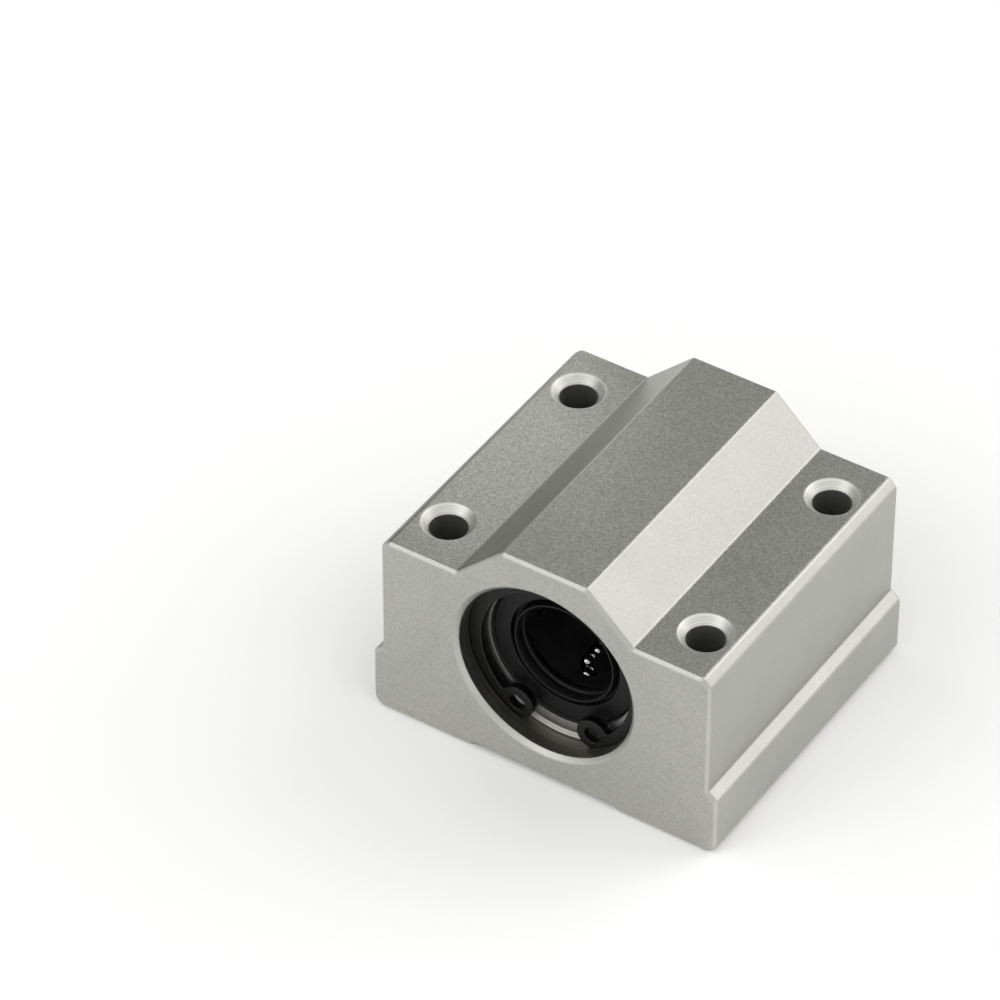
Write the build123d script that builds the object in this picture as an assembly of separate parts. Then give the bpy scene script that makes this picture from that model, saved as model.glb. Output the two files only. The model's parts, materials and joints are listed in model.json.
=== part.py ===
from build123d import *
from math import asin, cos, degrees, floor, pi, radians, sin, sqrt
import os

# Linear bearing block: an extruded aluminium housing that holds a closed ball bushing
# for a 12 mm shaft. Millimetres. The origin is on the shaft axis at mid length,
# +Y runs along the shaft and +Z points away from the mounting base.

# Shaft and balls
shaft_diameter = 12.0
ball_diameter = 1.984
ball_gap = 0.04              # between neighbouring balls on a turn
circuit_count = 4
turn_balls = 3               # balls on each half turn of a circuit
loaded_row_offset = 0.45     # of the loaded row from the circuit's middle radius
first_row_angle = 189.0      # of the lowest loaded row, from the top, clockwise from the front
return_side = -1             # side of a loaded row at the top where its balls return, from the front

# Bushing sleeve
bushing_length = 32.0
raceway_clearance = 0.016    # between the loaded balls and the raceway
rib_height = 1.2             # of the raceway ribs above the relieved bore
rib_side_clearance = 0.13    # between a rib and the slot of the ball retainer
sleeve_wall = 1.8            # outside the relieved bore
sleeve_rim = 0.1             # flat edge at the sleeve's outer ends
mouth_bevel = 0.4            # from that edge down to the sleeve's end faces, facing inwards
outer_groove_span = 22.9     # over the two snap ring grooves
outer_groove_width = 1.3
outer_groove_depth = 0.5

# Ball retainer
retainer_shaft_gap = 0.2
retainer_sleeve_gap = 0.1
track_clearance = 0.09       # around a ball, all along its track
least_end_wall = 0.9         # past the track, at each end of the retainer

# End rings and seals
end_play = 0.05              # between pieces stacked along the shaft
end_ring_width = 0.7
end_ring_radial = 2.0
end_ring_seat = 0.35         # depth of the ring's groove in the sleeve
end_ring_gap = 2.4
seal_fit = 0.03              # between the seal and the sleeve
seal_width = 1.7
seal_recess = 0.9            # of the seal's face inside the sleeve's rim
seal_edge = 0.25
seal_moat_radial = 0.4       # ring groove around the lip
seal_moat_depth = 0.9
lip_root = 0.55              # radial thickness of the lip where it leaves the seal
lip_tip = 0.2                # radial thickness of the lip's edge
lip_flare = 0.12             # radial opening of the lip's edge off the shaft
lip_height = 0.2             # of the lip's edge above the seal's face
lip_lead = 0.2               # from the seal's face down to the lip's front land
lip_land = 0.3               # length of each of the two lands that meet the shaft
lip_groove = 0.2             # depth of the ring groove between the lands

# Circlips in the housing
circlip_thickness = 1.0
circlip_seat_depth = 0.5
circlip_radial_play = 0.05
circlip_back = 2.45          # radial width of the band opposite the gap
circlip_front = 1.55         # radial width of the band beside the lugs
circlip_lug_radius = 2.0
circlip_lug_angle = 30.6     # of each lug from the middle of the gap
circlip_lug_end = 4.0        # degrees that the band runs on past the lug's middle
circlip_lug_hole = 2.0
circlip_lug_blend = 0.9

# Housing
bushing_recess = 3.5         # of the bushing inside each end of the housing
wall_under_bore = 4.0
wall_above_bore = 4.0
bolt_spacing_x = 32.5
bolt_spacing_y = 26.0
bolt_hole = 4.3
bolt_countersink = 6.1
bolt_exit_edge = 0.3
bolt_edge_distance = 5.75    # from the bolt holes to the side of the base
flange_height = 7.75
flare_width = 1.2            # step of the base flange on each side
flare_rise = 0.9
shoulder_height = 24.5
hump_top_width = 10.6
hump_foot_width = 22.2
relief_width = 18.6          # channel along the mounting base
relief_depth = 0.5
shoulder_edge = 1.0          # chamfer along the shoulders
base_edge = 0.9              # chamfer along the base
hump_blend = 0.5             # radius along the hump and its foot
end_edge = 0.38              # chamfer around both end faces
bore_edge = 0.55             # chamfer at both bore mouths

# Sizes that follow from the ones above
ball_radius = ball_diameter / 2
turn_radius = (ball_diameter + ball_gap) / (2 * sin(pi / (2 * turn_balls)))
ball_pitch = pi * turn_radius / turn_balls
ball_circle = shaft_diameter / 2 + ball_radius
circuit_height = sqrt(ball_circle**2 - loaded_row_offset**2)
loaded_x = -return_side * loaded_row_offset
circuit_angle = first_row_angle - degrees(asin(loaded_x / ball_circle))
track_radius = ball_radius + track_clearance

raceway_radius = ball_circle + ball_radius + raceway_clearance
relief_radius = raceway_radius + rib_height
bushing_diameter = 2 * (relief_radius + sleeve_wall)
bushing_end = bushing_length / 2
seal_face = bushing_end - seal_recess
seal_back = seal_face - seal_width
ring_face = seal_back - end_play
ring_back = ring_face - end_ring_width
retainer_end = ring_back - end_play

least_end = turn_radius + track_radius + least_end_wall
row_balls = floor(2 * (retainer_end - least_end) / ball_pitch)
row_length = row_balls * ball_pitch
return_x = loaded_x + return_side * 2 * turn_radius
turn_x = loaded_x + return_side * turn_radius

bore_height = bushing_diameter / 2 + wall_under_bore
block_height = bore_height + bushing_diameter / 2 + wall_above_bore
block_length = bushing_length + 2 * bushing_recess
block_end = block_length / 2
base_width = bolt_spacing_x + 2 * bolt_edge_distance
circlip_seat = bushing_diameter / 2 + circlip_seat_depth
circlip_radius = circlip_seat - circlip_radial_play
circlip_inner = circlip_radius - (circlip_back + circlip_front) / 2
circlip_shift = (circlip_back - circlip_front) / 2


def turned(outline):
    """Solid of revolution about the shaft, from (radius, position) points."""
    return revolve(make_face(Polyline(*outline, close=True)), Axis.Y)


def corners(face, points):
    """The face's corners that lie on the given (x, z) points."""
    return [v for v in face.vertices() for p in points if abs(v.X - p[0]) + abs(v.Z - p[1]) < 1e-6]


def both_ways(points):
    """The points and their mirror images left of the shaft."""
    return [*points, *((-x, z) for x, z in points)]


def section(points):
    """Flat face across the shaft, from (x, z) points."""
    return make_face(Plane.XZ * Polyline(*points, close=True))


def housing_section():
    """Outline of the extrusion, with its edges broken and its base relieved."""
    base = -bore_height
    foot = (base_width / 2, base)
    flange = (base_width / 2, base + flange_height)
    waist = (base_width / 2 - flare_width, base + flange_height + flare_rise)
    shoulder = (waist[0], base + shoulder_height)
    hump_foot = (hump_foot_width / 2, shoulder[1])
    hump_top = (hump_top_width / 2, base + block_height)
    right = [foot, flange, waist, shoulder, hump_foot, hump_top]
    left = [(-x, z) for x, z in reversed(right)]
    face = section(right + left)
    face = chamfer(corners(face, both_ways([shoulder])), shoulder_edge)
    face = chamfer(corners(face, both_ways([foot])), base_edge)
    face = fillet(corners(face, both_ways([hump_foot, hump_top])), hump_blend)
    half = relief_width / 2
    return face - section([
        (half + relief_depth, base - relief_depth), (half - relief_depth, base + relief_depth),
        (relief_depth - half, base + relief_depth), (-half - relief_depth, base - relief_depth),
    ])


def bore_cutter():
    """The bushing's seat, its two circlip grooves and its broken mouths."""
    seat = bushing_diameter / 2
    groove_end = bushing_end + circlip_thickness + 2 * end_play
    half = [
        (seat, bushing_end), (circlip_seat, bushing_end), (circlip_seat, groove_end), (seat, groove_end),
        (seat, block_end - bore_edge), (seat + 2 * bore_edge, block_end + bore_edge),
    ]
    mirrored = [(r, -y) for r, y in reversed(half)]
    return turned([(0, -block_end - bore_edge), *mirrored, *half, (0, block_end + bore_edge)])


def bolt_hole_cutter():
    """One through hole, countersunk at the shoulder and broken at the base."""
    top, base = shoulder_height - bore_height, -bore_height
    hole, sink = bolt_hole / 2, bolt_countersink / 2
    outline = make_face(Plane.XZ * Polyline(
        (0, base - 1), (hole + bolt_exit_edge + 1, base - 1), (hole, base + bolt_exit_edge),
        (hole, top - (sink - hole)), (sink + 1, top + 1), (0, top + 1), close=True,
    ))
    return revolve(outline, Axis.Z)


def make_housing():
    """Extruded block with the bore, its circlip grooves and four countersunk bolt holes."""
    block = extrude(housing_section(), block_length / 2, both=True)
    rims = [e for f in block.faces().filter_by(Axis.Y) for e in f.outer_wire().edges()]
    block = chamfer(rims, end_edge) - bore_cutter()
    for spot in GridLocations(bolt_spacing_x, bolt_spacing_y, 2, 2):
        block -= spot * bolt_hole_cutter()
    return block


def make_circlip():
    """Rear circlip, with its gap and lugs towards the base."""
    lug_place = circlip_radius - circlip_lug_radius
    angle = radians(circlip_lug_angle)
    lugs = [(side * lug_place * sin(angle), -lug_place * cos(angle)) for side in (-1, 1)]
    cut = radians(circlip_lug_angle - circlip_lug_end)
    far = 2 * circlip_radius
    band = Circle(circlip_radius) - Pos(0, -circlip_shift) * Circle(circlip_inner)
    gap = Polyline((0, 0), (-far * sin(cut), -far * cos(cut)), (far * sin(cut), -far * cos(cut)), close=True)
    band -= make_face(gap)
    for x, z in lugs:
        band += Pos(x, z) * Circle(circlip_lug_radius)
    inner = [
        v for v in band.vertices()
        if abs(sqrt(v.X**2 + (v.Y + circlip_shift) ** 2) - circlip_inner) < 1e-4
    ]
    band = fillet(inner, circlip_lug_blend)
    for x, z in lugs:
        band -= Pos(x, z) * Circle(circlip_lug_hole / 2)
    place = Plane(origin=(0, bushing_end + end_play, 0), x_dir=(1, 0, 0), z_dir=(0, -1, 0))
    return extrude(place * band, -circlip_thickness)


def make_sleeve():
    """Hardened outer cylinder, with the raceway ribs inside its relieved bore."""
    outside = bushing_diameter / 2
    groove_bottom = outside - outer_groove_depth
    groove_end = outer_groove_span / 2
    groove_start = groove_end - outer_groove_width
    ring_seat = relief_radius + end_ring_seat
    half = [
        (outside, groove_start), (groove_bottom, groove_start), (groove_bottom, groove_end),
        (outside, groove_end), (outside, bushing_end), (outside - sleeve_rim, bushing_end),
        (outside - sleeve_rim - mouth_bevel, bushing_end - mouth_bevel),
        (relief_radius, bushing_end - mouth_bevel), (relief_radius, ring_face + end_play),
        (ring_seat, ring_face + end_play), (ring_seat, retainer_end), (relief_radius, retainer_end),
    ]
    sleeve = turned([(r, -y) for r, y in reversed(half)] + half)
    ring = turned([
        (raceway_radius, -row_length / 2), (relief_radius + 0.1, -row_length / 2),
        (relief_radius + 0.1, row_length / 2), (raceway_radius, row_length / 2),
    ])
    rib_width = 2 * (track_radius - rib_side_clearance)
    bar = Pos(loaded_x, 0, relief_radius) * Box(rib_width, row_length, relief_radius)
    for index in range(circuit_count):
        sleeve += ring & in_circuit(bar, index)
    return sleeve


def in_circuit(shape, index):
    """Turn a shape from the circuit at the top to the numbered one."""
    return Rot(0, circuit_angle + index * 360 / circuit_count, 0) * shape


def track_cutter():
    """Round track along one circuit, and its slot out to the sleeve."""
    slot_height = relief_radius
    cutter = None
    for x in (loaded_x, return_x):
        tube = Pos(x, 0, circuit_height) * Rot(90, 0, 0) * Cylinder(track_radius, row_length)
        slot = Pos(x, 0, circuit_height + slot_height / 2) * Box(2 * track_radius, row_length, slot_height)
        cutter = tube + slot if cutter is None else cutter + tube + slot
    outer, inner = turn_radius + track_radius, turn_radius - track_radius
    for end in (-1, 1):
        place = Pos(turn_x, end * row_length / 2, circuit_height) * Rot(0, 0, 90 - end * 90)
        bend = Torus(turn_radius, track_radius, major_angle=180, align=None)
        ring = Cylinder(outer, slot_height, arc_size=180, align=None)
        ring -= Cylinder(inner, slot_height, arc_size=180, align=None)
        cutter += place * bend
        cutter += place * ring
    return cutter


def make_retainer():
    """Moulded ball retainer with one closed track for each circuit."""
    inner = shaft_diameter / 2 + retainer_shaft_gap
    outer = relief_radius - retainer_sleeve_gap
    end = retainer_end
    retainer = turned([(inner, -end), (outer, -end), (outer, end), (inner, end)])
    cutter = track_cutter()
    for index in range(circuit_count):
        retainer -= in_circuit(cutter, index)
    return retainer


def make_end_ring():
    """Rear snap ring that keeps the retainer inside the sleeve."""
    outer = relief_radius + end_ring_seat - end_play
    inner = outer - end_ring_radial
    ring = turned([(inner, ring_back), (outer, ring_back), (outer, ring_face), (inner, ring_face)])
    return ring - Pos(0, ring_face, outer) * Box(end_ring_gap, 4 * end_ring_width, 2 * end_ring_radial + 1)


def make_seal():
    """Rear seal, with a ring groove around its flared lip and two lands on the shaft."""
    outer = relief_radius - seal_fit
    bore = shaft_diameter / 2
    root = bore + lip_root
    tip = bore + lip_flare
    groove = bore + lip_groove
    land = seal_face - lip_lead
    rear_land = seal_back + lip_land
    return turned([
        (outer, seal_back), (outer, seal_face - seal_edge), (outer - seal_edge, seal_face),
        (root + seal_moat_radial, seal_face), (root + seal_moat_radial, seal_face - seal_moat_depth),
        (root, seal_face - seal_moat_depth), (tip + lip_tip, seal_face + lip_height),
        (tip, seal_face + lip_height), (bore, land), (bore, land - lip_land),
        (groove, land - lip_land - lip_groove), (groove, rear_land + lip_groove),
        (bore, rear_land), (bore, seal_back),
    ])


def balls(points):
    """A group of balls, from (x, y) points in the circuit's plane."""
    return [Pos(x, y, circuit_height) * Sphere(ball_radius) for x, y in points]


def ball_groups():
    """The four groups of one circuit: two straight rows and two turns."""
    half = row_length / 2
    steps = [index * ball_pitch for index in range(row_balls)]
    angles = [index * pi / turn_balls for index in range(turn_balls)]
    turn = [(return_side * turn_radius * cos(a), turn_radius * sin(a)) for a in angles]
    return {
        "loaded": balls([(loaded_x, step - half) for step in steps]),
        "rear_turn": balls([(turn_x - x, half + y) for x, y in turn]),
        "return": balls([(return_x, half - step) for step in steps]),
        "front_turn": balls([(turn_x + x, -half - y) for x, y in turn]),
    }


def write(name, shape):
    """Write one node, a solid or a group of solids."""
    export_step(shape, f"parts/{name}.step")


os.makedirs("parts", exist_ok=True)
write("housing", make_housing())
write("bushing_sleeve", make_sleeve())
write("ball_retainer", make_retainer())
for name, rear_piece in (("circlip", make_circlip()), ("end_ring", make_end_ring()), ("seal", make_seal())):
    write(f"rear_{name}", rear_piece)
    write(f"front_{name}", mirror(rear_piece, about=Plane.XZ))
for circuit in range(circuit_count):
    for group, spheres in ball_groups().items():
        turned_balls = [in_circuit(ball, circuit) for ball in spheres]
        write(f"circuit_{circuit + 1}_{group}_balls", Compound(turned_balls))
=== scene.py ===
"""Looks of the linear bearing block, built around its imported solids.

The housing, its circlips, the seals and the bushing's sleeve are modelled again with eased
edges, threads and turned faces, and every other piece keeps its solid and gets a finish.
"""

import json
import logging
from collections.abc import Iterable, Sequence
from dataclasses import dataclass, field, replace
from enum import Enum
from math import atan2, cos, pi, radians, sin, tan

import bmesh
import bpy
from mathutils import Matrix, Vector


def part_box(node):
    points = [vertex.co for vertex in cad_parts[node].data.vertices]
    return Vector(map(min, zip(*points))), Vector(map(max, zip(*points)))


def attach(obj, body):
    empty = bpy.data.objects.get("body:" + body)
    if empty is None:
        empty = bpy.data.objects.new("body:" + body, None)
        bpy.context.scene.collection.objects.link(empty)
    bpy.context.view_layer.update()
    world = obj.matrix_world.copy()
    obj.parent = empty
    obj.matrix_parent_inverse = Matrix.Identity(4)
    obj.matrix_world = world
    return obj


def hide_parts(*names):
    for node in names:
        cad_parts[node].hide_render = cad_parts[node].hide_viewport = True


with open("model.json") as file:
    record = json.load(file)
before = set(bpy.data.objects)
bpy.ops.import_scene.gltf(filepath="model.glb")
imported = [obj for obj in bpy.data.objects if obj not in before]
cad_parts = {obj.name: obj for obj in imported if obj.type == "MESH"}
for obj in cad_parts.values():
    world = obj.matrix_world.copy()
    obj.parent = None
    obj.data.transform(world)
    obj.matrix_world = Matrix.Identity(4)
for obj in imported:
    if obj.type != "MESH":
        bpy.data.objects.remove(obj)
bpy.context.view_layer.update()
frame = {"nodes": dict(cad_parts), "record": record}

LOG = logging.getLogger("bearing_block")
MM = 0.001
MERGE = 0.0005 * MM
AXIS_X, AXIS_Y, AXIS_Z = Vector((1, 0, 0)), Vector((0, 1, 0)), Vector((0, 0, 1))
ORIGIN = (0, 0, 0)
SMOOTH_LIMIT = radians(32)
CORNER_LIMIT = radians(20)
BLOCK_BODY = "block"
Colour = tuple[float, float, float]
Span = tuple[float, float]
WHITE: Colour = (1.0, 1.0, 1.0)
NOISE_SPAN: Span = (0.3, 0.7)


class End(Enum):
    """The two ends of the block, by the sign of their place along the shaft."""

    FRONT = -1
    REAR = 1

    def node(self, piece: str) -> str:
        """The name of the solid of a piece at this end."""
        return f"{self.name.lower()}_{piece}"


class Cut(Enum):
    """What a tool body does to the body that it meets."""

    TAKE_AWAY = "DIFFERENCE"
    JOIN = "UNION"


# Mesh tools


@dataclass(frozen=True)
class Corner:
    """A corner of a flat outline.

    Attributes:
        across: Place along X, which is the radius of a turned piece.
        along: Place along the outline's other direction.
        ease: Distance from the corner at which its rounding or chamfer starts.
        steps: Number of segments of the rounding, where 1 is a chamfer.
    """

    across: float
    along: float
    ease: float = 0.0
    steps: int = 1


def mirrored(corners: Sequence[Corner], across: int = 1, along: int = 1) -> list[Corner]:
    """Mirrors a part of an outline, so that the outline goes on with it.

    Args:
        corners: The corners in order.
        across: -1 to mirror across X, otherwise 1.
        along: -1 to mirror along the outline's other direction, otherwise 1.

    Returns:
        The mirrored corners, last one first.
    """
    return [replace(c, across=across * c.across, along=along * c.along) for c in reversed(corners)]


def drawn(corners: Sequence[Corner], direction: Vector) -> bmesh.types.BMesh:
    """Draws a flat closed outline as one face and eases its corners.

    Args:
        corners: The corners in order.
        direction: Direction of the corners' second place.

    Returns:
        A mesh that holds the one face.
    """
    bm = bmesh.new()
    verts = [bm.verts.new(AXIS_X * c.across + direction * c.along) for c in corners]
    bm.faces.new(verts)
    for ease, steps in sorted({(c.ease, c.steps) for c in corners if c.ease > 0}):
        chosen = [v for v, c in zip(verts, corners) if (c.ease, c.steps) == (ease, steps)]
        bmesh.ops.bevel(
            bm, geom=chosen, offset=ease, offset_type="OFFSET", segments=steps,
            profile=0.5, affect="VERTICES", material=-1,
        )
    return bm


def whole(bm: bmesh.types.BMesh) -> list[bmesh.types.BMVert | bmesh.types.BMEdge | bmesh.types.BMFace]:
    """Everything in a mesh."""
    return bm.verts[:] + bm.edges[:] + bm.faces[:]


def verts_in(made: Iterable[object]) -> list[bmesh.types.BMVert]:
    """The vertices among the things that an operator made."""
    return [thing for thing in made if isinstance(thing, bmesh.types.BMVert)]


def moved(bm: bmesh.types.BMesh, way: Vector) -> None:
    """Moves a whole mesh."""
    bmesh.ops.translate(bm, verts=bm.verts[:], vec=way)


def swung(bm: bmesh.types.BMesh, verts: Sequence[bmesh.types.BMVert], turn: Matrix) -> None:
    """Rotates vertices around the origin."""
    bmesh.ops.rotate(bm, verts=verts, cent=ORIGIN, matrix=turn)


def turned(corners: Sequence[Corner], direction: Vector, steps: int) -> bmesh.types.BMesh:
    """Turns an outline a full circle.

    Args:
        corners: The outline, with its radii first.
        direction: Direction of the axis, which passes through the origin.
        steps: Number of segments in the circle.

    Returns:
        The closed turned mesh.
    """
    bm = drawn(corners, direction)
    bmesh.ops.delete(bm, geom=bm.faces[:], context="FACES_ONLY")
    on_axis = [e for e in bm.edges if all(abs(v.co.x) < MERGE for v in e.verts)]
    bmesh.ops.delete(bm, geom=on_axis, context="EDGES")
    bmesh.ops.spin(
        bm, geom=bm.verts[:] + bm.edges[:], axis=direction, cent=ORIGIN,
        angle=2 * pi, steps=steps, use_merge=True,
    )
    bmesh.ops.remove_doubles(bm, verts=bm.verts[:], dist=MERGE)
    bmesh.ops.recalc_face_normals(bm, faces=bm.faces[:])
    return bm


def thickened(bm: bmesh.types.BMesh, way: Vector) -> None:
    """Extrudes every face of a flat mesh.

    Args:
        bm: The flat mesh, which becomes a closed solid.
        way: Direction and length of the extrusion.
    """
    raised = bmesh.ops.extrude_face_region(bm, geom=bm.faces[:])["geom"]
    bmesh.ops.translate(bm, verts=verts_in(raised), vec=way)
    bmesh.ops.recalc_face_normals(bm, faces=bm.faces[:])


def eased(bm: bmesh.types.BMesh, edges: Iterable[bmesh.types.BMEdge], ease: float, steps: int) -> None:
    """Rounds or chamfers edges.

    Args:
        bm: The mesh.
        edges: Its edges to ease.
        ease: Distance from the edge at which the rounding or chamfer starts.
        steps: Number of segments, where 1 is a chamfer.
    """
    bmesh.ops.bevel(
        bm, geom=list(edges), offset=ease, offset_type="OFFSET", segments=steps,
        profile=0.5, affect="EDGES", material=-1,
    )


def sharp_edges(bm: bmesh.types.BMesh, least: float) -> list[bmesh.types.BMEdge]:
    """The edges at which a mesh turns by more than an angle."""
    return [e for e in bm.edges if e.is_manifold and e.calc_face_angle(0.0) > least]


def lies_across(edge: bmesh.types.BMEdge) -> bool:
    """Whether an edge lies in a plane across the shaft."""
    return abs(edge.verts[0].co.y - edge.verts[1].co.y) < MERGE


def as_object(bm: bmesh.types.BMesh, name: str, finishes: Sequence[bpy.types.Material]) -> bpy.types.Object:
    """Turns a mesh under construction into an object at the origin.

    Args:
        bm: The mesh, which is freed.
        name: Name of the object.
        finishes: Its materials, in the order of the material numbers.

    Returns:
        The new object.
    """
    mesh = bpy.data.meshes.new(name)
    bm.to_mesh(mesh)
    bm.free()
    for finish in finishes:
        mesh.materials.append(finish)
    made = bpy.data.objects.new(name, mesh)
    bpy.context.scene.collection.objects.link(made)
    return made


def worked(body: bpy.types.Object, tool: bpy.types.Object, cut: Cut) -> None:
    """Cuts a tool body out of a body, or joins it to it, and removes the tool.

    Args:
        body: The object to change.
        tool: The object that shapes it, whose materials stay on the faces that it leaves.
        cut: What the tool does.
    """
    modifier = body.modifiers.new(cut.name, "BOOLEAN")
    modifier.operation = cut.value
    modifier.solver = "EXACT"
    modifier.material_mode = "TRANSFER"
    modifier.object = tool
    depsgraph = bpy.context.evaluated_depsgraph_get()
    result = bpy.data.meshes.new_from_object(body.evaluated_get(depsgraph))
    rough = body.data
    body.modifiers.clear()
    body.data = result
    for old in (rough, tool.data):
        bpy.data.meshes.remove(old)


def finished(piece: bpy.types.Object, node: str) -> None:
    """Shades a piece, puts it on the block and lets it stand for its solid.

    Args:
        piece: The modelled piece.
        node: The solid that it stands for.
    """
    mesh = piece.data
    mesh.polygons.foreach_set("use_smooth", [True] * len(mesh.polygons))
    mesh.set_sharp_from_angle(angle=SMOOTH_LIMIT)
    weighted = piece.modifiers.new("even_shading", "WEIGHTED_NORMAL")
    weighted.keep_sharp = True
    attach(piece, BLOCK_BODY)
    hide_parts(node)
    LOG.info("%s: %d faces", piece.name, len(mesh.polygons))


# Node tools


class Sheet:
    """A node tree that is being wired."""

    def __init__(self, tree: bpy.types.NodeTree) -> None:
        """Takes the tree to fill."""
        self.tree = tree

    def add(self, kind: str, inputs: dict[str, object] | None = None, **settings: object) -> bpy.types.Node:
        """Adds a node.

        Args:
            kind: The node's type, without its first word.
            inputs: Values or sockets, by the name of the input.
            settings: Properties of the node.

        Returns:
            The new node.
        """
        made = self.tree.nodes.new("ShaderNode" + kind)
        for name, value in settings.items():
            setattr(made, name, value)
        for name, value in (inputs or {}).items():
            self.feed(made.inputs[name], value)
        return made

    def feed(self, socket: bpy.types.NodeSocket, value: object) -> None:
        """Links a socket to another, or sets its value.

        Args:
            socket: The input to feed.
            value: The value or socket that it gets.
        """
        if isinstance(value, bpy.types.NodeSocket):
            self.tree.links.new(value, socket)
        else:
            socket.default_value = value

    def math(self, operation: str, *values: object) -> bpy.types.NodeSocket:
        """Adds a sum.

        Args:
            operation: Name of the operation.
            values: Its numbers or sockets.

        Returns:
            The result's socket.
        """
        made = self.add("Math", operation=operation)
        for socket, value in zip(made.inputs, values):
            self.feed(socket, value)
        return made.outputs[0]

    def noise(
        self, vector: object, scale: object, detail: float, roughness: float = 0.5,
    ) -> bpy.types.NodeSocket:
        """Adds a noise.

        Args:
            vector: Socket of the place.
            scale: How many of its patches fit in a unit of length.
            detail: How many finer layers it has.
            roughness: How much each finer layer counts.

        Returns:
            The noise's socket, from 0 to 1.
        """
        made = self.add("TexNoise", {
            "Vector": vector, "Scale": scale, "Detail": detail, "Roughness": roughness,
        })
        return made.outputs["Fac"]

    def spread(self, value: object, span: Span, low: object, high: object) -> bpy.types.NodeSocket:
        """Maps a span of numbers to another.

        Args:
            value: The number or socket to map.
            span: Start and end of its span.
            low: What the start becomes.
            high: What the end becomes.

        Returns:
            The mapped number's socket.
        """
        made = self.add("MapRange", {
            "Value": value, "From Min": span[0], "From Max": span[1], "To Min": low, "To Max": high,
        })
        return made.outputs["Result"]

    def swing(self, value: object, span: Span, contrast: object) -> bpy.types.NodeSocket:
        """Turns a span of numbers into a shade around 1.

        Args:
            value: The number or socket.
            span: Start and end of its span.
            contrast: How far the shade goes down and up.

        Returns:
            The shade's socket.
        """
        return self.math("MULTIPLY_ADD", self.spread(value, span, -1.0, 1.0), contrast, 1.0)

    def tinted(self, colour: Colour, shade: object) -> bpy.types.NodeSocket:
        """Makes a colour lighter or darker.

        Args:
            colour: The colour.
            shade: The number around 1, or its socket, that multiplies it.

        Returns:
            The new colour's socket.
        """
        made = self.add("VectorMath", {"Scale": shade}, operation="SCALE")
        self.feed(made.inputs[0], colour)
        return made.outputs[0]

    def blended(self, mask: object, colour: object, other: object) -> bpy.types.NodeSocket:
        """Turns one colour into another where a mask says so.

        Args:
            mask: The number or socket, from 0 to 1.
            colour: Colour or socket where the mask is 0.
            other: Colour or socket where the mask is 1.

        Returns:
            The blended colour's socket.
        """
        made = self.add("Mix", data_type="RGBA")
        sockets = {socket.identifier: socket for socket in (*made.inputs, *made.outputs)}
        for name, value in (("Factor_Float", mask), ("A_Color", colour), ("B_Color", other)):
            self.feed(sockets[name], value)
        return sockets["Result_Color"]


def group_tree(
    name: str, values: dict[str, float], results: Sequence[str],
) -> tuple[Sheet, bpy.types.NodeOutputs, bpy.types.NodeInputs]:
    """Starts a node group that works on a place of the surface.

    Args:
        name: Name of the group.
        values: Defaults of the numbers that it takes, by name.
        results: Names of the numbers that it gives.

    Returns:
        The sheet to wire, the sockets of what the group takes and the sockets of what it gives.
    """
    tree = bpy.data.node_groups.new(name, "ShaderNodeTree")
    tree.interface.new_socket("Vector", in_out="INPUT", socket_type="NodeSocketVector")
    for label, value in values.items():
        socket = tree.interface.new_socket(label, in_out="INPUT", socket_type="NodeSocketFloat")
        socket.default_value = value
    for label in results:
        tree.interface.new_socket(label, in_out="OUTPUT", socket_type="NodeSocketFloat")
    return Sheet(tree), tree.nodes.new("NodeGroupInput").outputs, tree.nodes.new("NodeGroupOutput").inputs


def blasted_grain() -> bpy.types.NodeTree:
    """Fine grain of a blasted surface, in small facets that each have a tone of their own.

    Returns:
        A group that gives a shade around 1 and a height from 0 to 1.
    """
    takes = {"Grain": 0.14 * MM, "Contrast": 0.1}
    sheet, given, out = group_tree("blasted_grain", takes, ("Shade", "Height"))
    fine_share, coarse_share, coarse_scale = 0.7, 0.3, 0.31
    scale = sheet.math("DIVIDE", 1.0, given["Grain"])
    fine = sheet.noise(given["Vector"], scale, detail=2.0, roughness=0.6)
    coarse = sheet.noise(given["Vector"], sheet.math("MULTIPLY", scale, coarse_scale), detail=1.0)
    facets = sheet.add("TexVoronoi", {"Vector": given["Vector"], "Scale": scale})
    tone = sheet.add("SeparateColor", {"Color": facets.outputs["Color"]}).outputs["Red"]
    sheet.feed(out["Shade"], sheet.swing(tone, (0.0, 1.0), given["Contrast"]))
    sheet.feed(out["Height"], sheet.math(
        "ADD", sheet.math("MULTIPLY", fine, fine_share), sheet.math("MULTIPLY", coarse, coarse_share),
    ))
    return sheet.tree


def turning_marks() -> bpy.types.NodeTree:
    """Fine rings that a cutting tool leaves around the Z axis of its vector.

    Returns:
        A group that gives a shade around 1 and a height from 0 to 1.
    """
    takes = {"Pitch": 0.1 * MM, "Contrast": 0.15}
    sheet, given, out = group_tree("turning_marks", takes, ("Shade", "Height"))
    place = sheet.add("SeparateXYZ", {"Vector": given["Vector"]}).outputs
    flat = sheet.add("CombineXYZ", {"X": place["X"], "Y": place["Y"]})
    radius = sheet.add("VectorMath", operation="LENGTH")
    sheet.feed(radius.inputs[0], flat.outputs[0])
    ring = sheet.add("CombineXYZ", {
        "X": sheet.math("DIVIDE", radius.outputs["Value"], given["Pitch"]),
        "Y": sheet.math("DIVIDE", place["Z"], given["Pitch"]),
    })
    lines = sheet.noise(ring.outputs[0], 1.0, detail=2.0, roughness=0.7)
    sheet.feed(out["Shade"], sheet.swing(lines, NOISE_SPAN, given["Contrast"]))
    sheet.feed(out["Height"], lines)
    return sheet.tree


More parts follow.
